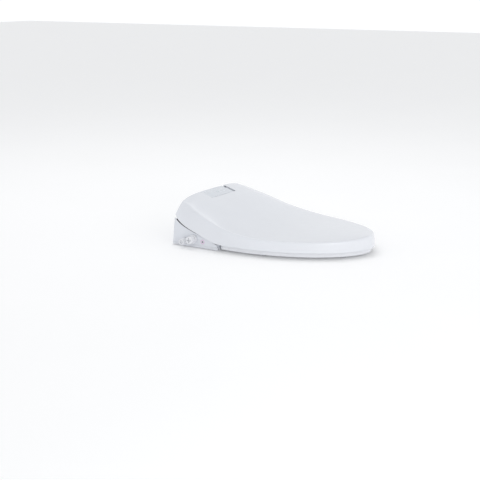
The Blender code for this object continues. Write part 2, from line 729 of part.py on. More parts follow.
def make_nozzle(tube_skin, tip_skin, guide_skin, motor_skin, flap_skin):
    way = nozzle_way()
    port = Vector(NOZZLE_PORT)
    tip_end = port - way * NOZZLE_SETBACK
    rear = tip_end - way * NOZZLE_LENGTH
    rod("nozzle_tube", NOZZLE_RADIUS, rear, way, NOZZLE_LENGTH - 0.0163, tube_skin)
    tip = [(0, 0), (0.0047, 0), (0.0050, 0.0004), (0.0050, 0.0110), (0.0042, 0.0146), (0.0020, 0.0160),
           (0, 0.0160)]
    lathe("nozzle_tip", tip, rear + way * (NOZZLE_LENGTH - 0.0160), way, tip_skin)
    start = port - way * 0.1060
    guide = [(0.0056, 0), (0.0072, 0), (0.0072, 0.0560), (0.0056, 0.0560), (0.0056, 0)]
    lathe("nozzle_guide", guide, start, way, guide_skin)
    motor = [(0, 0), (0.0100, 0), (0.0105, 0.0006), (0.0105, 0.0140), (0.0040, 0.0150), (0.0040, 0.0190),
             (0, 0.0190)]
    lathe("nozzle_motor", motor, (0.0300, -0.0120, 0.0560), (-1, 0, 0), motor_skin)
    thin = 0.0012
    low, high = FLAP_HINGE_Z - FLAP_LENGTH, FLAP_HINGE_Z
    y = NOZZLE_PORT[1]
    outline = [(y, low), (y, high - 0.0012)]
    outline += [(y + 0.0001 + 0.0011 * math.cos(a), high + 0.0011 * math.sin(a))
                for a in [math.radians(d) for d in range(-40, 221, 26)]]
    outline += [(y - thin, high - 0.0012), (y - thin, low)]
    prism("nozzle_shutter", outline, -0.0140, 0.0140, flap_skin, origin=(0.0, y, FLAP_HINGE_Z))


# ---- what is inside the unit --------------------------------------------------------------------

def make_water_side(plastic, skin, dark):
    box("water_tank", (-0.1450, -0.0250, 0.0092), (-0.0680, 0.0440, 0.0460), plastic, 0.0030)
    rod("tank_sensor", 0.0040, (-0.1060, 0.0100, 0.0464), (0, 0, 1), 0.0070, dark)
    box("inlet_valve", (-0.1780, -0.0010, 0.0092), (-0.1500, 0.0240, 0.0420), plastic, 0.0015)
    threads = [(0, 0), (0.0080, 0), (0.0080, 0.0160)]
    for i in range(8):
        at = 0.0160 + i * 0.0022
        threads += [(0.0074, at + 0.0006), (0.0080, at + 0.0017)]
    threads += [(0.0080, 0.0348), (0.0074, 0.0354), (0.0052, 0.0354), (0.0052, 0.0200), (0, 0.0200)]
    lathe("water_inlet", threads, (-0.1784, INLET_Y, INLET_Z), (-1, 0, 0), skin)
    rod("inlet_filter", 0.0049, (-0.2040, INLET_Y, INLET_Z), (-1, 0, 0), 0.0060, skin)
    rod("water_pump", 0.0110, (-0.0600, -0.0480, 0.0215), (1, 0, 0), 0.0320, dark)
    rod("drain_plug", 0.0050, (-0.1700, KNOB_Y, KNOB_Z), (-1, 0, 0), 0.0283, plastic)


def make_drain_knob(skin, shade, dark):
    start = (-0.1900, KNOB_Y, KNOB_Z)
    collar = [(0.0056, 0), (0.0118, 0), (0.0122, 0.0006), (0.0122, 0.0070), (0.0114, 0.0078), (0.0056, 0.0078),
              (0.0056, 0)]
    lathe("drain_collar", collar, start, (-1, 0, 0), skin, 32)
    body = [(0, 0), (0.0100, 0), (0.0108, 0.0010), (0.0108, 0.0140), (0.0098, 0.0164), (0, 0.0164)]
    knob = lathe("drain_knob", body, (-0.1986, KNOB_Y, KNOB_Z), (-1, 0, 0), skin, 32)
    wide, deep = 0.0016, 0.0040
    end = -0.1986 - 0.0164
    cut(knob, box("slot_up_tool", (end - 0.01, KNOB_Y - wide, KNOB_Z - 0.0075),
                  (end + deep, KNOB_Y + wide, KNOB_Z + 0.0075), None))
    cut(knob, box("slot_across_tool", (end - 0.01, KNOB_Y - 0.0075, KNOB_Z - wide),
                  (end + deep, KNOB_Y + 0.0075, KNOB_Z + wide), None))
    place = (-UNIT_HALF_WIDTH - 0.0001, -0.0450, 0.0200)
    rod("marker_dot", 0.0020, place, (-1, 0, 0), 0.0004, dark, 0.0001)
    badge = [(0.0042, 0), (0.0066, 0), (0.0066, 0.0004), (0.0042, 0.0004), (0.0042, 0)]
    return lathe("marker_ring", badge, place, (-1, 0, 0), shade)


def fan_wheel(name, centre, radius, height, skin, blades=9):
    """A wheel with upright blades on a disc and hub, one closed body, turning about its own centre."""
    hub = 0.0050
    profile = [(0, 0), (radius, 0), (radius, 0.0010), (hub, 0.0010), (hub, height), (0, height)]
    wheel = lathe(name, profile, centre, (0, 0, 1), skin, 18)
    for i in range(blades):
        low, high = (-radius + 0.0006, -0.0005, 0.0005), (-hub + 0.001, 0.0005, height)
        blade = box(f"{name}_blade_{i}_tool", low, high, None)
        blade.data.transform(Matrix.Translation(blade.location))
        blade.location = Vector(centre)
        blade.rotation_euler = (0.0, 0.0, 2 * math.pi * i / blades)
        fuse(wheel, blade)
    return wheel


def fan_housing(name, centre, radius, height, skin):
    """An open-topped scroll cup round a wheel."""
    profile = [(0, 0), (radius + 0.0030, 0), (radius + 0.0030, height), (radius + 0.0015, height),
               (radius + 0.0015, 0.0012), (0, 0.0012)]
    return lathe(name, profile, centre, (0, 0, 1), skin, 28)


def make_air_side(plastic, wheel_skin, filter_skin, flap_skin):
    fan_housing("dryer_housing", (0.1150, -0.0600, 0.0092), 0.0190, 0.0170, plastic)
    fan_wheel("dryer_fan", (0.1150, -0.0600, 0.0108), 0.0180, 0.0120, wheel_skin)
    box("dryer_duct", (0.0280, -0.0860, 0.0165), (0.0520, -0.0500, 0.0255), plastic, 0.0010)
    box("dryer_grille", (0.0275, -0.0944, 0.0160), (0.0525, -0.0930, 0.0260), flap_skin)
    fan_housing("deodorizer_housing", (-0.1250, -0.0600, 0.0092), 0.0160, 0.0160, plastic)
    fan_wheel("deodorizer_fan", (-0.1250, -0.0600, 0.0108), 0.0150, 0.0110, wheel_skin)
    box("filter_cartridge", (-0.0890, -0.0944, 0.0150), (-0.0510, -0.0640, 0.0245), filter_skin, 0.0010)
    box("presence_sensor", (0.0595, -0.0948, 0.0160), (0.0725, -0.0880, 0.0220), wheel_skin, 0.0008)


def make_electronics(board_skin, dark, copper, plastic):
    box("circuit_board", (0.0700, -0.0150, 0.0120), (0.1600, 0.0420, 0.0136), board_skin)
    box("transformer", (0.1250, 0.0050, 0.0140), (0.1520, 0.0340, 0.0360), dark, 0.0012)
    box("relay", (0.0800, 0.0050, 0.0140), (0.0960, 0.0250, 0.0300), dark, 0.0010)
    rod("capacitor", 0.0060, (0.1080, 0.0300, 0.0140), (0, 0, 1), 0.0220, copper)
    gland = [(0.0028, 0), (0.0050, 0), (0.0050, 0.0100), (0.0075, 0.0100), (0.0075, 0.0135), (0.0052, 0.0160),
             (0.0044, 0.0240), (0.0028, 0.0240), (0.0028, 0)]
    lathe("cable_gland", gland, (0.1800, 0.0300, 0.0250), (1, 0, 0), dark)
    box("release_button", (0.1830, -0.0410, 0.0200), (0.1915, -0.0190, 0.0320), plastic, 0.0012,
        origin=(0.1915, -0.0300, 0.0260))


# ---- mounting plate -----------------------------------------------------------------------------

def make_mount(plate_skin, steel, rubber):
    plate = box("base_plate", (-0.0850, -0.0230, 0.0), (0.0850, 0.0300, PLATE_TOP), plate_skin)
    for side, sign in both_sides():
        x = sign * BOLT_SPACING / 2
        low, high = sorted((sign * 0.0365, sign * 0.0415))
        fuse(plate, box(f"rail_{side}_tool", (low, -0.0200, 0.0030), (high, 0.0280, 0.0085), None))
        sink = [(0, -0.01), (0.0046, -0.01), (0.0046, 0.0005), (0.0094, 0.0040), (0.0094, 0.01), (0, 0.01)]
        cut(plate, lathe(f"bolt_hole_{side}_tool", sink, (x, 0.0, 0.0), (0, 0, 1), None))
        bolt = [(0, -0.0680), (0.0033, -0.0680), (0.0040, -0.0673), (0.0040, 0.0002), (0.0088, 0.0039),
                (0.0088, 0.0041), (0, 0.0041)]
        lathe(f"bolt_{side}", bolt, (x, 0.0, 0.0), (0, 0, 1), steel)
        bushing = [(0.0043, -0.0380), (0.0068, -0.0380), (0.0075, -0.0370), (0.0075, -0.0035), (0.0043, -0.0035),
                   (0.0043, -0.0380)]
        lathe(f"bushing_{side}", bushing, (x, 0.0, 0.0), (0, 0, 1), rubber)
        washer = [(0.0043, -0.0400), (0.0110, -0.0400), (0.0110, -0.0384), (0.0043, -0.0384), (0.0043, -0.0400)]
        lathe(f"washer_{side}", washer, (x, 0.0, 0.0), (0, 0, 1), steel)
        nut = [(0.0050, -0.0470), (0.0075, -0.0470), (0.0075, -0.0404), (0.0050, -0.0404), (0.0050, -0.0470)]
        lathe(f"nut_{side}", nut, (x, 0.0, 0.0), (0, 0, 1), steel, 6, smooth=False)
    return plate


# ---- build --------------------------------------------------------------------------------------

def build():
    clear_scene()
    lid_white = material("lid_white", (0.80, 0.81, 0.83), 0.16)
    seat_white = material("seat_white", (0.80, 0.81, 0.82), 0.20)
    case_white = material("case_white", (0.76, 0.78, 0.81), 0.28)
    tray_white = material("tray_white", (0.70, 0.72, 0.76), 0.38)
    panel_grey = material("panel_grey", (0.62, 0.68, 0.72), 0.22)
    lamp_mint = material("lamp_mint", (0.45, 0.62, 0.60), 0.25)
    plain_plastic = material("plain_plastic", (0.62, 0.63, 0.64), 0.45)
    dark_plastic = material("dark_plastic", (0.06, 0.06, 0.07), 0.50)
    knob_white = material("knob_white", (0.74, 0.75, 0.78), 0.30)
    ring_rose = material("ring_rose", (0.78, 0.60, 0.72), 0.45)
    rubber = material("rubber", (0.20, 0.20, 0.21), 0.80)
    bumper_grey = material("bumper_grey", (0.55, 0.56, 0.58), 0.70)
    steel = material("steel", (0.60, 0.61, 0.63), 0.32, 1.0)
    foil = material("heater_foil", (0.72, 0.45, 0.16), 0.45, 0.6)
    board = material("board_green", (0.05, 0.22, 0.12), 0.50)
    carbon = material("filter_grey", (0.25, 0.26, 0.28), 0.60)

    make_mount(plain_plastic, steel, rubber)
    make_lower_case(tray_white)
    make_upper_case(case_white)
    make_top_panel(panel_grey, lamp_mint)
    make_hinge(steel, dark_plastic)
    make_nozzle(steel, knob_white, plain_plastic, dark_plastic, case_white)
    make_water_side(plain_plastic, knob_white, dark_plastic)
    make_drain_knob(knob_white, ring_rose, dark_plastic)
    make_air_side(plain_plastic, dark_plastic, carbon, case_white)
    make_electronics(board, dark_plastic, steel, case_white)
    make_seat(seat_white, tray_white, foil, bumper_grey)
    make_lid(lid_white, bumper_grey)


build()
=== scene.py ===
"""Visual model of the electric bidet seat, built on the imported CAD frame.

It dresses the CAD nodes, redraws the lid with a finer mesh, adds small fittings,
and sets up the floor, the lights and the camera.
"""

import json
import math

import bmesh
import bpy
from mathutils import Matrix, Vector


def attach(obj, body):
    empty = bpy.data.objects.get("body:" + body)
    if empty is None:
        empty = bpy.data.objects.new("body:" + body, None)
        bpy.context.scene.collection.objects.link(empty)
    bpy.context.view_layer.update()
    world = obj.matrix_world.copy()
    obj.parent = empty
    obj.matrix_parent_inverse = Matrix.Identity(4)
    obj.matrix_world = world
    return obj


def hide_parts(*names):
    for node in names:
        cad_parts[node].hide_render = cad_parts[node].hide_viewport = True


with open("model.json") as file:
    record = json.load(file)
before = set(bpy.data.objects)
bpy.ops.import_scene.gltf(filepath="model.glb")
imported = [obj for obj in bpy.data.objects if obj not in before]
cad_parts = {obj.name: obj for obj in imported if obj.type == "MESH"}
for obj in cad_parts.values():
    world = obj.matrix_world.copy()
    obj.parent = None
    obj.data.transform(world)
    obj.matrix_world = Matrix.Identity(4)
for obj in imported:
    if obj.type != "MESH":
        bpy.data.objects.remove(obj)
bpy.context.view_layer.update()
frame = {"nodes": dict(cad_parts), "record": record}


# ---- materials ----------------------------------------------------------------------------------

class Nodes:
    """Short-hand for building one material's node tree."""

    def __init__(self, name):
        self.material = bpy.data.materials.new(name)
        self.material.use_nodes = True
        self.tree = self.material.node_tree
        self.shader = self.tree.nodes["Principled BSDF"]
        self.where = self.add("ShaderNodeTexCoord").outputs["Object"]

    def add(self, kind, **inputs):
        node = self.tree.nodes.new(kind)
        for name, value in inputs.items():
            node.inputs[name.replace("_", " ")].default_value = value
        return node

    def join(self, out, into):
        self.tree.links.new(out, into)

    def stretched(self, scale):
        node = self.add("ShaderNodeMapping", Scale=scale)
        self.join(self.where, node.inputs["Vector"])
        return node.outputs["Vector"]

    def noise(self, scale, detail=3.0, roughness=0.5, where=None):
        node = self.add("ShaderNodeTexNoise", Scale=scale, Detail=detail, Roughness=roughness)
        self.join(where or self.where, node.inputs["Vector"])
        return node.outputs["Fac"]

    def ramp(self, fac, low, high, start=0.3, end=0.7):
        node = self.add("ShaderNodeValToRGB")
        node.color_ramp.elements[0].position = start
        node.color_ramp.elements[0].color = (*low, 1.0)
        node.color_ramp.elements[1].position = end
        node.color_ramp.elements[1].color = (*high, 1.0)
        self.join(fac, node.inputs["Fac"])
        return node.outputs["Color"]

    def span(self, fac, low, high):
        node = self.add("ShaderNodeMapRange", From_Min=0.25, From_Max=0.75, To_Min=low, To_Max=high)
        self.join(fac, node.inputs["Value"])
        return node.outputs["Result"]

    def bump(self, height, strength, distance, under=None):
        node = self.add("ShaderNodeBump", Strength=strength, Distance=distance)
        self.join(height, node.inputs["Height"])
        if under is not None:
            self.join(under, node.inputs["Normal"])
        return node.outputs["Normal"]

    def set(self, **values):
        for name, value in values.items():
            self.shader.inputs[name.replace("_", " ")].default_value = value


def shade(colour, factor):
    return tuple(min(1.0, c * factor) for c in colour)


def moulded(name, colour, rough, coat=0.0, grain=0.15, variation=0.015, grain_size=900.0):
    """Moulded plastic: slight waviness, faint clouding of colour and fine texture in the gloss."""
    n = Nodes(name)
    cloud = n.noise(6.0, 4.0, 0.55)
    tint = n.ramp(cloud, shade(colour, 1 - variation), shade(colour, 1 + variation))
    n.join(tint, n.shader.inputs["Base Color"])
    smear = n.noise(38.0, 5.0, 0.6)
    n.join(n.span(smear, rough * 0.88, rough * 1.14), n.shader.inputs["Roughness"])
    wave = n.bump(n.noise(22.0, 2.0, 0.4), 0.03, 0.0004)
    n.join(n.bump(n.noise(grain_size, 2.0, 0.5), grain, 0.00004, wave), n.shader.inputs["Normal"])
    n.set(Coat_Weight=coat, Coat_Roughness=0.06, IOR=1.5)
    return n.material


def sparked(name, colour, rough):
    """Spark-eroded matt plastic with a visible fine pebble."""
    n = Nodes(name)
    cells = n.add("ShaderNodeTexVoronoi", Scale=1400.0)
    n.join(n.where, cells.inputs["Vector"])
    cloud = n.noise(14.0, 5.0, 0.6)
    n.join(n.ramp(cloud, shade(colour, 0.95), shade(colour, 1.05)), n.shader.inputs["Base Color"])
    n.join(n.span(cloud, rough * 0.9, rough * 1.1), n.shader.inputs["Roughness"])
    n.join(n.bump(cells.outputs["Distance"], 0.25, 0.00008), n.shader.inputs["Normal"])
    return n.material


def brushed(name, colour, rough, across=(1.0, 40.0, 40.0)):
    """Drawn metal with fine lines along its length."""
    n = Nodes(name)
    lines = n.noise(60.0, 4.0, 0.6, n.stretched(across))
    n.join(n.ramp(lines, shade(colour, 0.88), shade(colour, 1.08)), n.shader.inputs["Base Color"])
    n.join(n.span(lines, rough * 0.7, rough * 1.3), n.shader.inputs["Roughness"])
    n.join(n.bump(lines, 0.12, 0.00004), n.shader.inputs["Normal"])
    n.set(Metallic=1.0)
    return n.material


def rubbery(name, colour, rough):
    """Dusty rubber or felt, dull and slightly uneven in colour."""
    n = Nodes(name)
    dust = n.noise(180.0, 6.0, 0.7)
    n.join(n.ramp(dust, shade(colour, 0.85), shade(colour, 1.25)), n.shader.inputs["Base Color"])
    n.join(n.span(dust, rough * 0.9, min(rough * 1.1, 1.0)), n.shader.inputs["Roughness"])
    n.join(n.bump(n.noise(700.0, 3.0, 0.6), 0.3, 0.0001), n.shader.inputs["Normal"])
    return n.material


def board_skin(name):
    """Solder mask with copper tracks showing through."""
    n = Nodes(name)
    tracks = n.add(
        "ShaderNodeTexBrick", Scale=110.0, Mortar_Size=0.03, Brick_Width=0.9, Row_Height=0.4
    )
    n.join(n.where, tracks.inputs["Vector"])
    mask, mask_light, copper = (0.02, 0.13, 0.06), (0.03, 0.17, 0.08), (0.10, 0.33, 0.15)
    for socket, colour in (("Color1", mask), ("Color2", mask_light), ("Mortar", copper)):
        tracks.inputs[socket].default_value = (*colour, 1.0)
    n.join(tracks.outputs["Color"], n.shader.inputs["Base Color"])
    n.join(n.bump(tracks.outputs["Fac"], 0.2, 0.0001), n.shader.inputs["Normal"])
    n.set(Roughness=0.35)
    return n.material


def foil_skin(name):
    """Amber heater film with a printed meander of wires."""
    n = Nodes(name)
    bands = n.add("ShaderNodeTexWave", Scale=60.0, Distortion=1.5)
    n.join(n.where, bands.inputs["Vector"])
    wire, film = (0.32, 0.13, 0.03), (0.62, 0.36, 0.10)
    tint = n.ramp(bands.outputs["Fac"], wire, film, 0.42, 0.5)
    n.join(tint, n.shader.inputs["Base Color"])
    n.join(n.bump(bands.outputs["Fac"], 0.2, 0.0001), n.shader.inputs["Normal"])
    n.set(Roughness=0.3)
    return n.material


SKINS = {
    "lid_white": moulded("lid_gloss_white", (0.74, 0.758, 0.797), 0.24, coat=0.2, grain=0.02),
    "seat_white": moulded("seat_gloss_white", (0.77, 0.785, 0.82), 0.24, coat=0.3, grain=0.04),
    "case_white": moulded("case_satin_white", (0.705, 0.725, 0.77), 0.32, coat=0.15, grain=0.08),
    "tray_white": sparked("tray_matt_white", (0.70, 0.72, 0.76), 0.48),
    "panel_grey": moulded("panel_frosted_grey", (0.665, 0.695, 0.74), 0.26, coat=0.3, grain=0.02),
    "lamp_mint": moulded("lamp_pale_green", (0.72, 0.79, 0.80), 0.30, coat=0.3),
    "plain_plastic": sparked("natural_plastic", (0.70, 0.71, 0.72), 0.50),
    "dark_plastic": sparked("black_plastic", (0.045, 0.045, 0.05), 0.48),
    "knob_white": moulded("knob_satin_white", (0.76, 0.77, 0.80), 0.34, grain=0.3),
    "ring_rose": moulded("ring_pale_rose", (0.72, 0.55, 0.70), 0.45, grain=0.3, variation=0.05),
    "rubber": rubbery("black_rubber", (0.035, 0.035, 0.038), 0.75),
    "bumper_grey": rubbery("grey_bumper_rubber", (0.42, 0.43, 0.45), 0.70),
    "steel": brushed("drawn_steel", (0.58, 0.59, 0.61), 0.30),
    "heater_foil": foil_skin("heater_film"),
    "board_green": board_skin("circuit_board_green"),
    "filter_grey": rubbery("carbon_filter_grey", (0.14, 0.15, 0.16), 0.80),
}


def dress_nodes():
    """Gives every CAD node the finish of its material slot."""
    for entry in frame["record"]["subparts"]:
        node = frame["nodes"][entry["node"]]
        skin = SKINS[entry["material_slot"]]
        for place in node.material_slots:
            place.link = "OBJECT"
            place.material = skin
        if not node.material_slots:
            node.data.materials.append(skin)


# ---- mesh helpers -------------------------------------------------------------------------------

PIECE_SHARP_ANGLE = math.radians(35.0)


def piece(name, shape, skin, body):
    """Turns a bmesh into a visual piece with a finish and the body it rides on."""
    mesh = bpy.data.meshes.new(name)
    bmesh.ops.recalc_face_normals(shape, faces=shape.faces)
    shape.to_mesh(mesh)
    shape.free()
    for face in mesh.polygons:
        face.use_smooth = True
    mesh.set_sharp_from_angle(angle=PIECE_SHARP_ANGLE)
    made = bpy.data.objects.new(name, mesh)
    bpy.context.scene.collection.objects.link(made)
    mesh.materials.append(SKINS[skin])
    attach(made, body)
    return made


def revolve(profile, start, direction, segments=32):
    """A bmesh turned from (radius, distance) pairs; a radius of 0 closes it."""
    along = Vector(direction).normalized()
    turn = Vector((0, 0, 1)).rotation_difference(along).to_matrix().to_4x4()
    place = Matrix.Translation(Vector(start)) @ turn
    shape = bmesh.new()
    rings = []
    for radius, at in profile:
        count = segments if radius > 0 else 1
        ring = []
        for i in range(count):
            a = 2 * math.pi * i / segments
            spot = Vector((radius * math.cos(a), radius * math.sin(a), at))
            ring.append(shape.verts.new(place @ spot))
        rings.append(ring)
    for a, b in zip(rings, rings[1:]):
        for i in range(segments):
            corners = [a[i % len(a)], a[(i + 1) % len(a)], b[(i + 1) % len(b)], b[i % len(b)]]
            unique = list(dict.fromkeys(corners))
            if len(unique) > 2:
                shape.faces.new(unique)
    return shape


def block(low, high, edge=0.0004):
    """A bmesh block with rounded edges."""
    shape = bmesh.new()
    bmesh.ops.create_cube(shape, size=1.0)
    size = [b - a for a, b in zip(low, high)]
    middle = [(a + b) / 2 for a, b in zip(low, high)]
    bmesh.ops.scale(shape, vec=size, verts=shape.verts)
    bmesh.ops.translate(shape, vec=middle, verts=shape.verts)
    bmesh.ops.bevel(
        shape, geom=shape.edges[:], offset=edge, segments=2, affect="EDGES", profile=0.6
    )
    return shape


# ---- lid surface --------------------------------------------------------------------------------
# The outline and heights are those of the CAD lid. The crease is drawn tighter than there.
# The tables hold (y, value) pairs from front to rear. SKIRT_EDGE has the (y, z) points of a
# Bezier curve.

AXIS_Y = 0.0445
AXIS_Z = 0.0850
LID_HALF_WIDTH = 0.1967
LID_WIDEST_Y = -0.1500
LID_FRONT_REACH = 0.3253
LID_ROUNDNESS = 1.845
LID_REAR_NARROWING = 0.0105
LID_NARROWING_LENGTH = 0.195
LID_SIDE_END_Y = 0.0490
LID_SKIRT_INSET = 0.0033
LID_SKIRT_BOTTOM = 0.0200
LID_WALL = 0.0026
LID_REAR_Y = 0.0545
LID_REAR_BOTTOM = 0.0935
LID_REAR_HALF_WIDTH = 0.1862
LID_CREASE_REAR_X = 0.1560
LID_CREASE_REAR_Y = 0.0505
LID_NOTCH_HALF_WIDTH = 0.0632
LID_NOTCH_FRONT_Y = 0.0046
WEDGE_SLOPE = 0.349
SKIRT_BEND = 0.003
CREASE_OVERRUN = 1.05
SPINE_HEIGHTS = [
    (-0.472, 0.0550), (-0.400, 0.0530), (-0.300, 0.0515), (-0.250, 0.0525), (-0.200, 0.0570),
    (-0.150, 0.0670), (-0.100, 0.0825), (-0.050, 0.1010), (0.000, 0.1175), (0.022, 0.1250),
    (0.054, 0.1350),
]
CREASE_HEIGHTS = [
    (-0.472, 0.0520), (-0.400, 0.0500), (-0.300, 0.0485), (-0.230, 0.0500), (-0.168, 0.0560),
    (-0.102, 0.0690), (-0.067, 0.0805), (-0.028, 0.0940), (0.001, 0.1035), (0.022, 0.1120),
    (0.0505, 0.1190),
]
CREASE_INSETS = [
    (-0.475, 0.0033), (-0.150, 0.0036), (-0.102, 0.0050), (-0.067, 0.0080), (-0.028, 0.0130),
    (0.001, 0.0190), (0.022, 0.0255), (0.0490, 0.0302),
]
CREASE_SOFTNESS = [(-0.475, 0.0042), (-0.150, 0.0048), (-0.030, 0.0056), (0.0490, 0.0100)]
CROWN_POWERS = [(-0.300, 2.0), (-0.100, 3.0), (0.050, 4.8)]
CREASE_REACH = [(-0.0600, 0.20), (0.0490, 0.45)]
SKIRT_EDGE = [(-0.003, 0.0505), (0.022, 0.0590), (0.0480, 0.0740), (0.0490, 0.0890)]


def between(table, at):
    """Straight-line lookup in a table of (position, value)."""
    if at <= table[0][0]:
        return table[0][1]
    for (a, low), (b, high) in zip(table, table[1:]):
        if at <= b:
            return low + (high - low) * (at - a) / (b - a)
    return table[-1][1]


def smooth_between(table, at):
    """The same lookup, through a Catmull-Rom curve."""
    if at <= table[0][0]:
        return table[0][1]
    if at >= table[-1][0]:
        return table[-1][1]
    i = max(n for n, row in enumerate(table[:-1]) if at >= row[0])
    (a, low), (b, high) = table[i], table[i + 1]
    before = table[max(i - 1, 0)]
    after = table[min(i + 2, len(table) - 1)]
    span = b - a
    rise_a = (high - before[1]) / (b - before[0]) * span
    rise_b = (after[1] - low) / (after[0] - a) * span
    t = (at - a) / span
    return (
        (2 * t**3 - 3 * t**2 + 1) * low
        + (t**3 - 2 * t**2 + t) * rise_a
        + (3 * t**2 - 2 * t**3) * high
        + (t**3 - t**2) * rise_b
    )


def bezier(points, t):
    a, b, c, d = points
    u = 1 - t
    return tuple(
        u**3 * p + 3 * u * u * t * q + 3 * u * t * t * r + t**3 * s
        for p, q, r, s in zip(a, b, c, d)
    )


def quadratic(a, b, c, t):
    u = 1 - t
    return [u * u * p + 2 * u * t * q + t * t * r for p, q, r in zip(a, b, c)]


def lid_side_x(y):
    return LID_HALF_WIDTH - LID_REAR_NARROWING * ((y - LID_WIDEST_Y) / LID_NARROWING_LENGTH) ** 2


def lid_front_point(angle, shrink=0.0):
    """The front half of the outline, from the tip (0) to the widest place (90 degrees)."""
    power = 2 / LID_ROUNDNESS
    x = (LID_HALF_WIDTH - shrink) * math.sin(angle) ** power
    y = LID_WIDEST_Y - (LID_FRONT_REACH - shrink) * max(math.cos(angle), 0.0) ** power
    return x, y


def lid_outline(front_steps, side_steps):
    """Half of the outline as (x, y) from the front tip back to the end of the side."""
    points = [lid_front_point(math.pi / 2 * i / front_steps) for i in range(front_steps + 1)]
    for i in range(1, side_steps + 1):
        y = LID_WIDEST_Y + (LID_SIDE_END_Y - LID_WIDEST_Y) * i / side_steps
        points.append((lid_side_x(y), y))
    return points


def skirt_edge_curve(steps=16):
    return [bezier(SKIRT_EDGE, i / steps) for i in range(steps + 1)]


def skirt_edge_z(y):
    """Height of the lid's lower edge.

    It is flat in front, rises along the wedge, and curls up at the hinge.
    """
    start_y, start_z = SKIRT_EDGE[0]
    if y <= start_y:
        slope = start_z + WEDGE_SLOPE * (y - start_y)
        rising = math.exp(slope / SKIRT_BEND)
        flat = math.exp(LID_SKIRT_BOTTOM / SKIRT_BEND)
        return SKIRT_BEND * math.log(rising + flat)
    return between(skirt_edge_curve(), y)


def crease_half_width(y):
    if y < LID_WIDEST_Y:
        reach = min((LID_WIDEST_Y - y) / (LID_FRONT_REACH - LID_SKIRT_INSET), 1.0)
        share = (1 - reach**LID_ROUNDNESS) ** (1 / LID_ROUNDNESS)
        return max((LID_HALF_WIDTH - LID_SKIRT_INSET) * share, 1e-4)
    return lid_side_x(y) - smooth_between(CREASE_INSETS, y)


def lid_height(x, y):
    """Height of the lid's top surface, which falls from the spine to the crease."""
    spine = smooth_between(SPINE_HEIGHTS, y)
    drop = spine - smooth_between(CREASE_HEIGHTS, y)
    share = min(abs(x) / crease_half_width(y), CREASE_OVERRUN)
    return spine - drop * share ** smooth_between(CROWN_POWERS, y)


def lid_columns(front_steps=44, side_steps=40):
    """Half of the rim as (lower edge point, crease corner, edge point of the top surface)."""
    rows = []
    for i, (x, y) in enumerate(lid_outline(front_steps, side_steps)):
        inset = smooth_between(CREASE_INSETS, y)
        soft = smooth_between(CREASE_SOFTNESS, y)
        if i <= front_steps:
            angle = math.pi / 2 * i / front_steps
            cx, cy = lid_front_point(angle, inset)
            tx, ty = lid_front_point(angle, inset + soft)
        else:
            cx, cy = x - inset, y
            back = max(0.0, y / LID_SIDE_END_Y)
            tx, ty = cx - soft, y - 0.3 * soft * back**2
        rows.append(((x, y, skirt_edge_z(y)), (cx, cy), (tx, ty)))
    return rows


def rear_columns(last, across):
    """The rim along the back, from the left corner to the right one."""
    (_, side_y, side_z), _, (top_x, top_y) = last
    columns = []
    for i in range(1, across):
        s = -1 + 2 * i / across
        near = abs(s)
        foot_x = LID_REAR_HALF_WIDTH * math.copysign(near**0.85, s)
        foot_y = LID_REAR_Y - (LID_REAR_Y - side_y) * near**12
        foot_z = LID_REAR_BOTTOM + (side_z - LID_REAR_BOTTOM) * near**10
        foot = (foot_x, foot_y, foot_z)
        columns.append((foot, (s * LID_CREASE_REAR_X, LID_CREASE_REAR_Y), (s * top_x, top_y)))
    return columns


def mirror_column(column):
    (fx, fy, fz), (cx, cy), (tx, ty) = column
    return ((-fx, fy, fz), (-cx, cy), (-tx, ty))


def strip(a, b):
    """Faces between two lines of point numbers; repeated points are dropped."""
    return [
        tuple(dict.fromkeys((a[i], a[i + 1], b[i + 1], b[i]))) for i in range(len(a) - 1)
    ]


def toward(start, end, share):
    return [a + (b - a) * share for a, b in zip(start, end)]


def rim_line(foot, corner, top):
    """Points from the top's edge round the crease and down the skirt to the lower edge."""
    high = (*corner, lid_height(*corner))
    edge = (*top, lid_height(*top))
    share = between(CREASE_REACH, foot[1])
    down = toward(high, foot, share)
    line = [quadratic(edge, high, down, n / 8) for n in range(1, 9)]
    for t in (0.2, 0.4, 0.6, 0.8, 0.97, 1.0):
        line.append(toward(high, foot, share + (1 - share) * t))
    return line


def lid_sheet(name):
    """The lid's outer skin as an open sheet: a top grid, a rounded crease and a skirt."""
    across = 48
    rows = lid_columns()
    points, faces = [], []

    def add(x, y, z):
        points.append((x, y, z))
        return len(points) - 1

    tip = add(0.0, rows[0][2][1], lid_height(0.0, rows[0][2][1]))
    grid = [[tip] * (across + 1)]
    for _, _, (half, y) in rows[1:]:
        steps = [-1 + 2 * i / across for i in range(across + 1)]
        grid.append([add(s * half, y, lid_height(s * half, y)) for s in steps])
    for a, b in zip(grid, grid[1:]):
        faces += strip(a, b)
    left = [(mirror_column(c), grid[i][0]) for i, c in enumerate(rows)]
    right = [(c, grid[i][-1]) for i, c in enumerate(rows)]
    back = list(zip(rear_columns(rows[-1], across), grid[-1][1:-1]))
    rim = left[::-1] + right[1:] + back[::-1]
    loops = []
    for (foot, corner, top), edge in rim:
        loops.append([edge] + [add(*point) for point in rim_line(foot, corner, top)])
    for a, b in zip(loops, loops[1:] + loops[:1]):
        faces += strip(a, b)
    mesh = bpy.data.meshes.new(name)
    mesh.from_pydata(points, [], faces)
    shape = bmesh.new()
    shape.from_mesh(mesh)
    bpy.data.meshes.remove(mesh)
    return shape


def hidden_tool(name, shape):
    """A throwaway object for a boolean; fine_lid removes it again."""
    mesh = bpy.data.meshes.new(name)
    shape.to_mesh(mesh)
    shape.free()
    made = bpy.data.objects.new(name, mesh)
    bpy.context.scene.collection.objects.link(made)
    return made


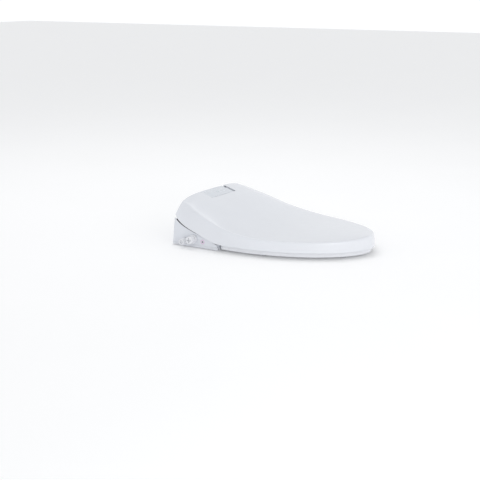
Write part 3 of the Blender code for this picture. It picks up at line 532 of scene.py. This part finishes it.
def boolean(target, tool, operation):
    step = target.modifiers.new(operation.lower(), "BOOLEAN")
    step.operation = operation
    step.solver = "EXACT"
    step.use_self = True
    step.object = tool


def bake_modifiers(made):
    """Turns an object's modifiers into plain mesh, so nothing is left to evaluate later."""
    graph = bpy.context.evaluated_depsgraph_get()
    mesh = bpy.data.meshes.new_from_object(made.evaluated_get(graph))
    made.modifiers.clear()
    made.data = mesh


LID_SHARP_ANGLE = math.radians(40.0)
LID_EDGE_RADIUS = 0.0006
NOTCH_TOOL_REAR_Y = 0.09
NOTCH_TOOL_Z = (0.05, 0.16)
NOTCH_CORNER = 0.0015


def fine_lid():
    """The lid drawn with a fine mesh, standing for the CAD lid; its hinge ribs are added to it."""
    made = piece("lid_shell_fine", lid_sheet("lid_sheet"), "lid_white", "lid")
    wall = made.modifiers.new("wall", "SOLIDIFY")
    wall.thickness = LID_WALL
    wall.offset = -1.0
    low = (-LID_NOTCH_HALF_WIDTH, LID_NOTCH_FRONT_Y, NOTCH_TOOL_Z[0])
    high = (LID_NOTCH_HALF_WIDTH, NOTCH_TOOL_REAR_Y, NOTCH_TOOL_Z[1])
    notch = hidden_tool("notch_tool", block(low, high, NOTCH_CORNER))
    boolean(made, notch, "DIFFERENCE")
    bevel = made.modifiers.new("soft_edges", "BEVEL")
    bevel.width = LID_EDGE_RADIUS
    bevel.segments = 2
    bevel.limit_method = "ANGLE"
    bevel.angle_limit = math.radians(50.0)
    bake_modifiers(made)
    bpy.data.objects.remove(notch, do_unlink=True)
    for face in made.data.polygons:
        face.use_smooth = True
    made.data.set_sharp_from_angle(angle=LID_SHARP_ANGLE)
    for side, sign in (("left", -1.0), ("right", 1.0)):
        hinge_rib(f"lid_hinge_rib_{side}", sign)
    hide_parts("lid")


RIB_INNER_X = 0.0645
RIB_OUTER_X = 0.0795
RIB_EYE_RADIUS = 0.0085
RIB_BORE_RADIUS = 0.0043
RIB_BELOW_LID_TOP = 0.0014
RIB_TOP_YS = (0.0400, 0.0300, 0.0100, -0.0100, -0.0300)
RIB_REAR_CORNER = (0.0505, 0.1000)
RIB_FRONT_CORNER = (-0.0200, 0.0930)


def round_axis(radius, degrees):
    """(y, z) points round the hinge axis."""
    turns = [math.radians(a) for a in degrees]
    return [(AXIS_Y + radius * math.cos(a), AXIS_Z + radius * math.sin(a)) for a in turns]


def hinge_rib(name, sign):
    """A rib under the lid with the eye that turns on the pin."""
    low, high = sorted((sign * RIB_INNER_X, sign * RIB_OUTER_X))
    eye = round_axis(RIB_EYE_RADIUS, range(-180, 20, 10))
    top = [(y, lid_height(RIB_OUTER_X, y) - RIB_BELOW_LID_TOP) for y in RIB_TOP_YS]
    outline = eye + [RIB_REAR_CORNER] + top + [RIB_FRONT_CORNER]
    bore = round_axis(RIB_BORE_RADIUS, range(0, 360, 15))
    shape = bmesh.new()
    ends = []
    for x in (low, high):
        loops = [[shape.verts.new((x, y, z)) for y, z in line] for line in (outline, bore)]
        edges = []
        for loop in loops:
            edges += [shape.edges.new(pair) for pair in zip(loop, loop[1:] + loop[:1])]
        bmesh.ops.triangle_fill(shape, use_beauty=True, use_dissolve=False, edges=edges)
        ends.append(loops)
    for a, b in zip(*ends):
        for i in range(len(a)):
            j = (i + 1) % len(a)
            shape.faces.new((a[i], a[j], b[j], b[i]))
    piece(name, shape, "lid_white", "lid")


# ---- small fittings -----------------------------------------------------------------------------

WEDGE_TIP = (-0.0890, 0.0179)
WEDGE_GAP = 0.0024
# Extent of the black strip of painted shade in the gap under the lid's edge.
SHADE_STRIP_TOP_Z = 0.0760
SHADE_STRIP_INNER_X = 0.1800
SHADE_STRIP_OUTER_X = 0.1889


def extruded(outline, low, high):
    """A bmesh prism from a closed (y, z) outline between two x positions."""
    shape = bmesh.new()
    ends = [[shape.verts.new((x, y, z)) for y, z in outline] for x in (low, high)]
    for i in range(len(outline)):
        j = (i + 1) % len(outline)
        shape.faces.new((ends[0][i], ends[0][j], ends[1][j], ends[1][i]))
    for ring in ends:
        shape.faces.new(ring)
    caps = [face for face in shape.faces if len(face.verts) > 4]
    bmesh.ops.triangulate(shape, faces=caps, ngon_method="EAR_CLIP")
    return shape


def painted_gap_shades():
    """A black strip along the top of each wedge, in the shadow gap under the lid's edge; it is
    painted shade that darkens the gap, not a seal.
    """
    top = [WEDGE_TIP]
    curve = skirt_edge_curve(14)
    for (y0, z0), (y1, z1) in zip(curve, curve[1:]):
        length = math.hypot(y1 - y0, z1 - z0)
        place = (y0 + WEDGE_GAP * (z1 - z0) / length, z0 - WEDGE_GAP * (y1 - y0) / length)
        if place[1] < SHADE_STRIP_TOP_Z:
            top.append(place)
    upper = [(y - 0.0002, z + 0.0007) for y, z in top]
    lower = [(y + 0.0004, z - 0.0010) for y, z in top[::-1]]
    for side, sign in (("left", -1.0), ("right", 1.0)):
        low, high = sorted((sign * SHADE_STRIP_INNER_X, sign * SHADE_STRIP_OUTER_X))
        shade_strip = extruded(upper + lower, low, high)
        # Black strip that stands in for the shade in the gap: painted shade.
        piece(f"painted_gap_shade_{side}", shade_strip, "rubber", "unit")


LOUVRE_BACK = ((0.0275, -0.0934, 0.0160), (0.0525, -0.0930, 0.0260))
SLAT_X = (0.0277, 0.0523)
SLAT_Y = (-0.0947, -0.0936)
SLAT_FIRST_Z = 0.0166
SLAT_PITCH = 0.0017
SLAT_HEIGHT = 0.0007
SLAT_COUNT = 6
SLAT_EDGE = 0.0002


def louvres():
    """Slats over the dryer outlet, in place of the plain grille."""
    shape = block(*LOUVRE_BACK, SLAT_EDGE)
    made = piece("dryer_louvre_back", shape, "dark_plastic", "unit")
    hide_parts("dryer_grille")
    for i in range(SLAT_COUNT):
        z = SLAT_FIRST_Z + i * SLAT_PITCH
        low, high = (SLAT_X[0], SLAT_Y[0], z), (SLAT_X[1], SLAT_Y[1], z + SLAT_HEIGHT)
        slat = block(low, high, SLAT_EDGE)
        piece(f"dryer_louvre_slat_{i}", slat, "case_white", "unit")


SCREW_PLACES = ((-0.150, -0.070), (0.150, -0.070), (-0.150, 0.035), (0.150, 0.035))
SCREW_BOTTOM_Z = 0.0029
SCREW_HEAD = (
    (0, 0.0002), (0.0016, 0), (0.0030, 0.0004), (0.0034, 0.0012), (0.0034, 0.0022), (0, 0.0022),
)
CROSS_HALF_LENGTH = 0.0018
CROSS_HALF_WIDTH = 0.0004
CROSS_Z = (0.00285, 0.0032)


def screws():
    """Cross-head screws that hold the tray to the case from below; the dark crosses on their heads
    are painted shade standing for the cross recesses.
    """
    arms = ((CROSS_HALF_LENGTH, CROSS_HALF_WIDTH), (CROSS_HALF_WIDTH, CROSS_HALF_LENGTH))
    for i, (x, y) in enumerate(SCREW_PLACES):
        head = revolve(SCREW_HEAD, (x, y, SCREW_BOTTOM_Z), (0, 0, 1), 24)
        piece(f"tray_screw_{i}", head, "steel", "unit")
        for turn, (dx, dy) in enumerate(arms):
            # Dark cross on the head: painted shade for the cross recess.
            recess_shade = block((x - dx, y - dy, CROSS_Z[0]), (x + dx, y + dy, CROSS_Z[1]), 0.0001)
            piece(f"tray_screw_slot_{i}_{turn}", recess_shade, "dark_plastic", "unit")


RIDGE_X = (0.1905, 0.1921)
RIDGE_Y = (-0.0370, -0.0230)
RIDGE_FIRST_Z = 0.0215
RIDGE_PITCH = 0.0022
RIDGE_HEIGHT = 0.0009
RIDGE_COUNT = 5


def button_ridges():
    """Grip ridges on the release button."""
    for i in range(RIDGE_COUNT):
        z = RIDGE_FIRST_Z + i * RIDGE_PITCH
        low, high = (RIDGE_X[0], RIDGE_Y[0], z), (RIDGE_X[1], RIDGE_Y[1], z + RIDGE_HEIGHT)
        ridge = block(low, high, 0.0003)
        piece(f"button_ridge_{i}", ridge, "case_white", "release_button")


# ---- surroundings -------------------------------------------------------------------------------

FLOOR_HALF_SIZE = 12.0


def floor():
    """A wide pale floor, lit a little from within so that it stays near white."""
    shape = bmesh.new()
    bmesh.ops.create_grid(shape, x_segments=2, y_segments=2, size=FLOOR_HALF_SIZE)
    mesh = bpy.data.meshes.new("studio_floor")
    shape.to_mesh(mesh)
    shape.free()
    made = bpy.data.objects.new("studio_floor", mesh)
    bpy.context.scene.collection.objects.link(made)
    n = Nodes("studio_floor_pale")
    speck = n.noise(3.0, 2.0)
    tint = n.ramp(speck, (0.955, 0.955, 0.955), (0.965, 0.965, 0.965))
    n.join(tint, n.shader.inputs["Base Color"])
    n.set(Roughness=0.9, Emission_Strength=0.08)
    n.shader.inputs["Emission Color"].default_value = (1.0, 1.0, 1.0, 1.0)
    mesh.materials.append(n.material)


def area_light(name, place, target, size, power, colour=(1.0, 1.0, 1.0)):
    data = bpy.data.lights.new(name, "AREA")
    data.shape = "RECTANGLE"
    data.size, data.size_y = size
    data.energy = power
    data.color = colour
    made = bpy.data.objects.new(name, data)
    made.location = Vector(place)
    made.rotation_euler = (Vector(target) - Vector(place)).to_track_quat("-Z", "Y").to_euler()
    bpy.context.scene.collection.objects.link(made)


LIGHT_AIM = (0.0, -0.2, 0.05)
SKY_STRENGTH_LEVEL = 1.06
SKY_STRENGTH_UP = 0.66


def lights():
    """Three softboxes and a pale sky that is brightest at the horizon and below it."""
    area_light("overhead_softbox", (0.5, 0.4, 2.4), LIGHT_AIM, (1.6, 1.4), 10.0)
    warm = (1.0, 0.99, 0.98)
    area_light("front_left_softbox", (-1.6, -2.4, 0.55), LIGHT_AIM, (1.8, 1.0), 14.0, warm)
    area_light("front_right_softbox", (1.6, -2.2, 0.9), LIGHT_AIM, (1.2, 1.2), 1.5)
    world = bpy.data.worlds.new("pale_studio")
    world.use_nodes = True
    tree = world.node_tree
    sky = tree.nodes["Background"]
    sky.inputs["Color"].default_value = (0.975, 0.985, 1.0, 1.0)
    where = tree.nodes.new("ShaderNodeTexCoord")
    parts = tree.nodes.new("ShaderNodeSeparateXYZ")
    fade = tree.nodes.new("ShaderNodeMapRange")
    fade.inputs["To Min"].default_value = SKY_STRENGTH_LEVEL
    fade.inputs["To Max"].default_value = SKY_STRENGTH_UP
    tree.links.new(where.outputs["Generated"], parts.inputs["Vector"])
    tree.links.new(parts.outputs["Z"], fade.inputs["Value"])
    tree.links.new(fade.outputs["Result"], sky.inputs["Strength"])
    bpy.context.scene.world = world


CAMERA_AZIMUTH = math.radians(-57.844)
CAMERA_ELEVATION = math.radians(13.9)
CAMERA_AIM = (-0.7387, -0.5138, 0.2027)
CAMERA_DISTANCE = 2.21104
CAMERA_LENS_MM = 79.07


def camera():
    """The view of the photograph, from the front on the side with the drain knob."""
    level = math.cos(CAMERA_ELEVATION)
    back = Vector((
        math.sin(CAMERA_AZIMUTH) * level,
        -math.cos(CAMERA_AZIMUTH) * level,
        math.sin(CAMERA_ELEVATION),
    ))
    data = bpy.data.cameras.new("camera")
    data.lens = CAMERA_LENS_MM
    data.sensor_width = 36.0
    made = bpy.data.objects.new("camera", data)
    made.location = Vector(CAMERA_AIM) + back * CAMERA_DISTANCE
    made.rotation_euler = back.to_track_quat("Z", "Y").to_euler()
    bpy.context.scene.collection.objects.link(made)
    bpy.context.scene.camera = made


dress_nodes()
fine_lid()
# Painted shade: black strips in the gap under the lid's edge.
painted_gap_shades()
louvres()
screws()
button_ridges()
floor()
lights()
camera()
bpy.context.scene.view_settings.view_transform = "Standard"
